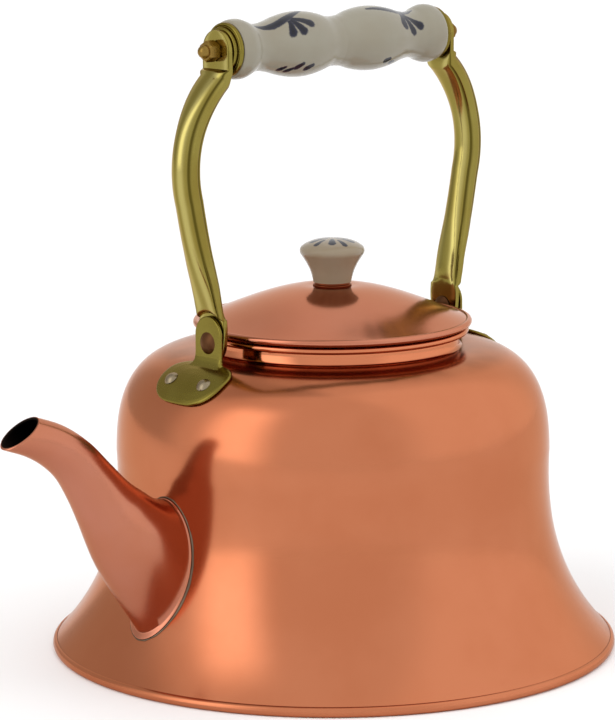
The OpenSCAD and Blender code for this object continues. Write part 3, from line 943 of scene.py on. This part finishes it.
def shoulder_point(x, y, lift):
    """Point above or below the shoulder at a place in plan, lift along the wall's normal."""
    a, b = 0.0, 1.0
    r = math.hypot(x, y)
    for _ in range(24):
        m = (a + b) / 2
        if bezier(SHOULDER, m)[0] > r:
            a = m
        else:
            b = m
    p = Vector(bezier(SHOULDER, a))
    along = (Vector(bezier(SHOULDER, min(a + 0.01, 1))) - p).normalized()
    out = r + lift * along.y
    return Vector((x / r * out, y / r * out, p.y - lift * along.x))


def make_bracket(name, side, cad):
    """Angle bracket: a round-ended plate on the shoulder and an upright tab, joined by a soft bend."""
    plate_rings = []
    for share, lift in PLATE_EDGE:
        ring = []
        for k in range(PLATE_POINTS):
            a = 2 * math.pi * k / PLATE_POINTS
            u = share * PLATE_HALF_REACH * squarish(math.cos(a), 2.5)
            v = share * PLATE_HALF_W * squarish(math.sin(a), 2.7)
            ring.append(shoulder_point(PLATE_CENTRE + u - PLATE_BOW * v * v, v, lift))
        plate_rings.append(ring)
    outer = TAB_IN + PLATE_T
    top = shoulder_point(outer, 0, PLATE_T).z
    tab_rings = []
    for rise, spread, w in TAB_ROOT:
        z = top + rise
        tab_rings.append(cross_section(Vector((TAB_IN, z)), Vector((outer + spread, z)), w, PAD_SQUARE))
    tab_rings += round_top(TAB_IN, outer, PIVOT_Z + TAB_RISE, TAB_HALF_W)
    shells = [loft(name + part, [[(side * p.x, p.y, p.z) for p in ring] for ring in rings], [])
              for part, rings in (("_plate", plate_rings), ("_tab", tab_rings))]
    bracket = fused(name, shells, bracket_brass, 0.25, 5)
    return fit(bracket, "kettle", "brass", cad)


def paint_arm_light(piece):
    """Attribute of painted light on a lofted arm: a painted highlight along two lines and painted shade
    in the grooves.
    """
    painted_light = piece.data.attributes.new("painted_light", "FLOAT", "POINT")
    values = []
    for k in range(len(piece.data.vertices)):
        a = 2 * math.pi * (k % ARM_SIDES) / ARM_SIDES
        values.append(0.5 + 0.5 * line_share(a, HIGHLIGHT_AT, 16) - 0.5 * line_share(a, GROOVE_AT, 8))
    painted_light.data.foreach_set("value", values)


def make_arm(name, side, cad):
    """Brass tube, flattened at both ends and bowed towards the grip."""
    rings = [[(side * p.x, p.y, p.z) for p in ring] for ring in arm_rings()]
    arm = loft(name, rings, [brass_light_and_shade], crease=50)
    # Painted highlight along two lines and painted shade in the grooves
    paint_arm_light(arm)
    return fit(arm, "handle", "brass", cad)


def make_cap(name, side, cad):
    """Stepped cup on the end of the grip: a rolled outer ring, a groove and a raised inner ring."""
    base = GRIP_END + 0.05
    out = CAP_OUT
    outline = [(CAP_BORE_R, base), (8, base), (9.9, base), (CAP_R, GRIP_END + 0.5), (CAP_R, out - 2.0),
               (CAP_R - 0.5, out - 1.6), (9.35, out - 1.6), (9.1, out - 2.0), (8.75, out - 2.0),
               (8.6, out - 1.6), (8.6, out - 0.4), (8.2, out), (CAP_BORE_R, out)]
    cap = lathe(name, filleted(outline, 0.3, 3), [cup_brass], 128,
                lambda x, y, z: (side * z, y, GRIP_Z + x))
    return fit(cap, "handle", "brass", cad)


def make_nut(name, side, cad):
    """Chamfered hexagon with a small domed tip."""
    start = UPPER_IN + PAD_T
    profile = [(0, 0), (3.3, 0), (4.2, 0.5), (4.2, 4.4), (3.25, 5.0), (2.6, 5.05)]
    for k in range(10):
        a = math.radians(90 * k / 10)
        profile.append((2.55 * math.cos(a), 5.2 + 2.5 * math.sin(a)))
    profile.append((0, 7.7))

    def place(x, y, z):
        r = math.hypot(x, y)
        turn = math.degrees(math.atan2(y, x)) % 60 - 30
        flat = min(r, NUT_APOTHEM / math.cos(math.radians(turn)))
        scale = flat / r if r else 1
        return (side * (start + z), y * scale, GRIP_Z + x * scale)
    nut = lathe(name, profile, [nut_brass], 120, place, crease=20)
    return fit(nut, "handle", "nut_brass", cad)


# ---------------------------------------------------------------- pieces carried over from CAD

def dress(name, material):
    """Gives a CAD node a material, with its own shape kept."""
    cad = frame["nodes"][name]
    cad.data.materials.clear()
    cad.data.materials.append(material)


make_body()
make_foot()
make_neck()
make_spout()
make_seam()
make_lid()
make_saddle()
make_knob()
make_grip()
for end, side in (("front", -1), ("rear", 1)):
    make_cap(end + "_grip_cup", side, end + "_grip_cap")
    make_arm(end + "_brass_arm", side, end + "_arm")
    make_nut(end + "_domed_nut", side, end + "_grip_nut")
    make_bracket(end + "_brass_bracket", side, end + "_bracket")
    dress(end + "_bracket_rivets", tin)
    dress(end + "_rivet_roves", tin)
    dress(end + "_pivot_rivet", rivet_copper)
dress("grip_rod", nut_brass)
dress("lid_skirt", lid_copper)
dress("knob_stud", nut_brass)
dress("knob_washer", nut_brass)
dress("knob_nut", nut_brass)


# ---------------------------------------------------------------- studio

def make_floor():
    mesh = bpy.data.meshes.new("studio_floor")
    reach = 6.0
    mesh.from_pydata([(-reach, -reach, 0), (reach, -reach, 0), (reach, reach, 0), (-reach, reach, 0)],
                     [], [(0, 1, 2, 3)])
    mesh.materials.append(floor_material())
    floor = bpy.data.objects.new("studio_floor", mesh)
    bpy.context.scene.collection.objects.link(floor)


def soft_light(name, azimuth, elevation, distance, size, power):
    """Soft box that faces the kettle and shapes its matt surfaces; azimuth runs from +X towards +Y."""
    light = bpy.data.lights.new(name, "AREA")
    light.shape = "SQUARE"
    light.size = size
    light.energy = power
    lamp = bpy.data.objects.new(name, light)
    bpy.context.scene.collection.objects.link(lamp)
    target = Vector((0, 0, 0.1))
    a, e = math.radians(azimuth), math.radians(elevation)
    offset = Vector((math.cos(e) * math.cos(a), math.cos(e) * math.sin(a), math.sin(e)))
    lamp.location = target + distance * offset
    lamp.rotation_euler = offset.to_track_quat("Z", "Y").to_euler()
    lamp.visible_glossy = False


def screen(tree, axes, azimuth, half_width, bottom, top, soft):
    """Share of a soft-edged screen of the light tent in a direction; angles in degrees."""
    x, y, z = axes
    a = math.radians(azimuth)
    x_cos, x_sin = maths(tree, "MULTIPLY", x, math.cos(a)), maths(tree, "MULTIPLY", x, math.sin(a))
    y_cos, y_sin = maths(tree, "MULTIPLY", y, math.cos(a)), maths(tree, "MULTIPLY", y, math.sin(a))
    front = maths(tree, "ADD", x_cos, y_sin)
    side = maths(tree, "SUBTRACT", y_cos, x_sin)
    turn = maths(tree, "ABSOLUTE", maths(tree, "ARCTAN2", side, front))
    rise = maths(tree, "ARCSINE", z)
    across = ramp(tree, turn, math.radians(half_width + soft), math.radians(half_width))
    up = ramp(tree, rise, math.radians(bottom - soft), math.radians(bottom))
    down = ramp(tree, rise, math.radians(top + soft), math.radians(top))
    return maths(tree, "MULTIPLY", across, maths(tree, "MULTIPLY", up, down))


def make_world(level, screens):
    """White light tent; screens are (strength, azimuth, half width, bottom, top, soft edge)."""
    world = bpy.data.worlds.new("studio")
    world.use_nodes = True
    tree = world.node_tree
    direction = node(tree, "ShaderNodeTexCoord").outputs["Generated"]
    split = node(tree, "ShaderNodeSeparateXYZ", {0: direction})
    total = level
    for strength, *place in screens:
        share = screen(tree, split.outputs, *place)
        total = maths(tree, "ADD", total, maths(tree, "MULTIPLY", share, strength))
    shade = tree.nodes["Background"]
    shade.inputs["Color"].default_value = (1, 1, 1, 1)
    tree.links.new(total, shade.inputs["Strength"])
    bpy.context.scene.world = world


def make_camera():
    """Long lens from a little above the lid, rolled very slightly."""
    data = bpy.data.cameras.new("camera")
    data.lens = 171.76
    data.sensor_width = 36
    camera = bpy.data.objects.new("camera", data)
    bpy.context.scene.collection.objects.link(camera)
    place = Vector((-0.8760, -0.9740, 0.354))
    heading = math.radians(48.4578)
    pitch = math.radians(10.4708)
    roll = math.radians(-0.30)
    level = Vector((math.cos(heading), math.sin(heading), 0))
    ahead = math.cos(pitch) * level - Vector((0, 0, math.sin(pitch)))
    aim = ahead.to_track_quat("-Z", "Y").to_matrix().to_4x4()
    camera.matrix_world = Matrix.Translation(place) @ aim @ Matrix.Rotation(roll, 4, "Z")
    bpy.context.scene.camera = camera


make_floor()
make_world(1.10, [
    (1.25, 173, 5, 2, 40, 22),
    (0.2, 320, 34, -5, 70, 25),
    (-0.45, 100, 22, -10, 75, 24),
])
soft_light("key_softbox", 176, 42, 1.4, 0.8, 2.4)
soft_light("fill_softbox", 300, 40, 1.6, 1.0, 1.2)
make_camera()
bpy.context.scene.view_settings.view_transform = "Standard"
